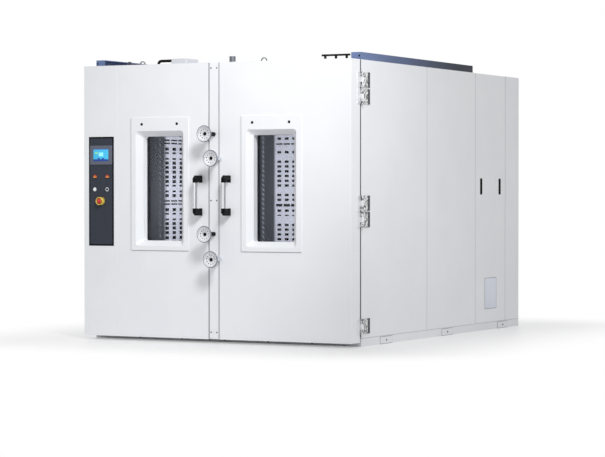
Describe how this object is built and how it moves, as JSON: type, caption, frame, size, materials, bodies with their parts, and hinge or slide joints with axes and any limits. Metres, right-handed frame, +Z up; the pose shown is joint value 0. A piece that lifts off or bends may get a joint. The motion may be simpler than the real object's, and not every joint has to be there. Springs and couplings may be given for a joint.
{
  "type": "walk-in environmental test chamber",
  "caption": "Walk-in environmental test chamber with double doors, splayed windows, clamp handwheels, control fascia and a machine room behind.",
  "frame": {"origin": "centre of the underside of the plinth, on the floor, without the leaves", "axes": "+X to the right seen from the front, +Y to the back, +Z up"},
  "size_m": [2.352, 3.33, 2.17],
  "materials": {
    "white_coat": "satin powder coat",
    "plinth_coat": "satin powder coat",
    "slate_coat": "fine textured coat",
    "beam_coat": "satin coat",
    "black_coat": "satin coat",
    "sheet_steel": "brushed",
    "zinc_screw": "zinc plated",
    "chrome_plate": "polished",
    "coil_fins": "plain",
    "motor_paint": "satin",
    "seal_rubber": "matte",
    "tinted_glass": "polished, dark tint",
    "bezel_plastic": "satin",
    "lamp_lens": "gloss",
    "button_white": "gloss",
    "stop_red": "gloss",
    "stop_yellow": "gloss",
    "box_plastic": "matte",
    "black_plastic": "satin"
  },
  "bodies": {
    "chamber": {"air_coils": "coil_fins", "base_frame": "plinth_coat", "body_fasteners": "zinc_screw", "bulkhead": "white_coat", "compressors": "motor_paint", "condenser": "coil_fins", "duct_left": "sheet_steel", "duct_rear": "sheet_steel", "fan_motor": "motor_paint", "floor_slab": "white_coat", "hinge_fixed_left": "chrome_plate", "hinge_fixed_right": "chrome_plate", "lining": "sheet_steel", "machine_frame": "white_coat", "pocket_covers": "plinth_coat", "portal_frame": "sheet_steel", "rear_panel": "white_coat", "roof_beams": "beam_coat", "roof_black_frames": "black_coat", "roof_box": "box_plastic", "roof_metal_fittings": "chrome_plate", "roof_panel": "white_coat", "wall_left": "white_coat", "wall_right": "white_coat"},
    "left_door": {"left_column": "white_coat", "left_leaf": "white_coat", "hinge_leaf_left": "chrome_plate", "window_frame_left": "white_coat", "window_panes_left": "tinted_glass", "glazing_ring_left": "black_plastic", "door_seal_left": "seal_rubber", "handle_brackets_left": "black_plastic", "handle_bar_left": "chrome_plate", "control_fascia": "slate_coat", "touch_panel": "bezel_plastic", "panel_lamps": "lamp_lens", "switch_rings": "chrome_plate", "stop_collar": "stop_yellow"},
    "right_door": {"right_leaf": "white_coat", "centre_strip": "white_coat", "hinge_leaf_right": "chrome_plate", "window_frame_right": "white_coat", "window_panes_right": "tinted_glass", "glazing_ring_right": "black_plastic", "door_seal_right": "seal_rubber", "handle_brackets_right": "black_plastic", "handle_bar_right": "chrome_plate", "wheel_posts_black": "black_plastic", "wheel_posts_bright": "chrome_plate"},
    "wheel_1": {"handwheel_1": "chrome_plate"},
    "wheel_2": {"handwheel_2": "chrome_plate"},
    "wheel_3": {"handwheel_3": "chrome_plate"},
    "wheel_4": {"handwheel_4": "chrome_plate"},
    "stop_button": {"stop_head": "stop_red"},
    "white_button": {"push_button": "button_white"},
    "key_switch": {"key_rotor": "black_plastic"},
    "air_fan": {"circulation_fan": "sheet_steel"},
    "vent_fan": {"condenser_fan": "black_plastic"},
    "side_cover_left": {"access_panel_left": "white_coat"},
    "side_cover_right": {"access_panel_right": "white_coat"}
  },
  "joints": [
    {"name": "left_door_swing", "type": "hinge", "parent": "chamber", "child": "left_door", "pos_m": [-1.164, -1.517, 1.05], "axis": [0, 0, -1], "range_deg": [0, 150]},
    {"name": "right_door_swing", "type": "hinge", "parent": "chamber", "child": "right_door", "pos_m": [1.164, -1.517, 1.05], "axis": [0, 0, 1], "range_deg": [0, 150]},
    {"name": "handwheel_1_turn", "type": "hinge", "parent": "right_door", "child": "wheel_1", "pos_m": [0.00525, -1.8, 1.564], "axis": [0, 1, 0], "continuous": true},
    {"name": "handwheel_2_turn", "type": "hinge", "parent": "right_door", "child": "wheel_2", "pos_m": [0.05825, -1.8, 1.382], "axis": [0, 1, 0], "continuous": true},
    {"name": "handwheel_3_turn", "type": "hinge", "parent": "right_door", "child": "wheel_3", "pos_m": [0.00525, -1.8, 0.818], "axis": [0, 1, 0], "continuous": true},
    {"name": "handwheel_4_turn", "type": "hinge", "parent": "right_door", "child": "wheel_4", "pos_m": [0.05825, -1.8, 0.6305], "axis": [0, 1, 0], "continuous": true},
    {"name": "stop_press", "type": "slide", "parent": "left_door", "child": "stop_button", "axis": [0, 1, 0], "range_m": [0, 0.005], "stiffness_N_per_m": 900},
    {"name": "button_press", "type": "slide", "parent": "left_door", "child": "white_button", "axis": [0, 1, 0], "range_m": [0, 0.003], "stiffness_N_per_m": 600},
    {"name": "key_turn", "type": "hinge", "parent": "left_door", "child": "key_switch", "pos_m": [-0.936, -1.69, 1.153], "axis": [0, 1, 0], "range_deg": [0, 90]},
    {"name": "air_fan_spin", "type": "hinge", "parent": "chamber", "child": "air_fan", "pos_m": [0, 0.5, 1.5], "axis": [0, 1, 0], "continuous": true},
    {"name": "vent_fan_spin", "type": "hinge", "parent": "chamber", "child": "vent_fan", "pos_m": [0, 1.4, 1.5], "axis": [0, 1, 0], "continuous": true},
    {"name": "left_cover_lift_off", "type": "slide", "parent": "chamber", "child": "side_cover_left", "axis": [-1, 0, 0], "range_m": [0, 0.3]},
    {"name": "right_cover_lift_off", "type": "slide", "parent": "chamber", "child": "side_cover_right", "axis": [1, 0, 0], "range_m": [0, 0.3]}
  ]
}
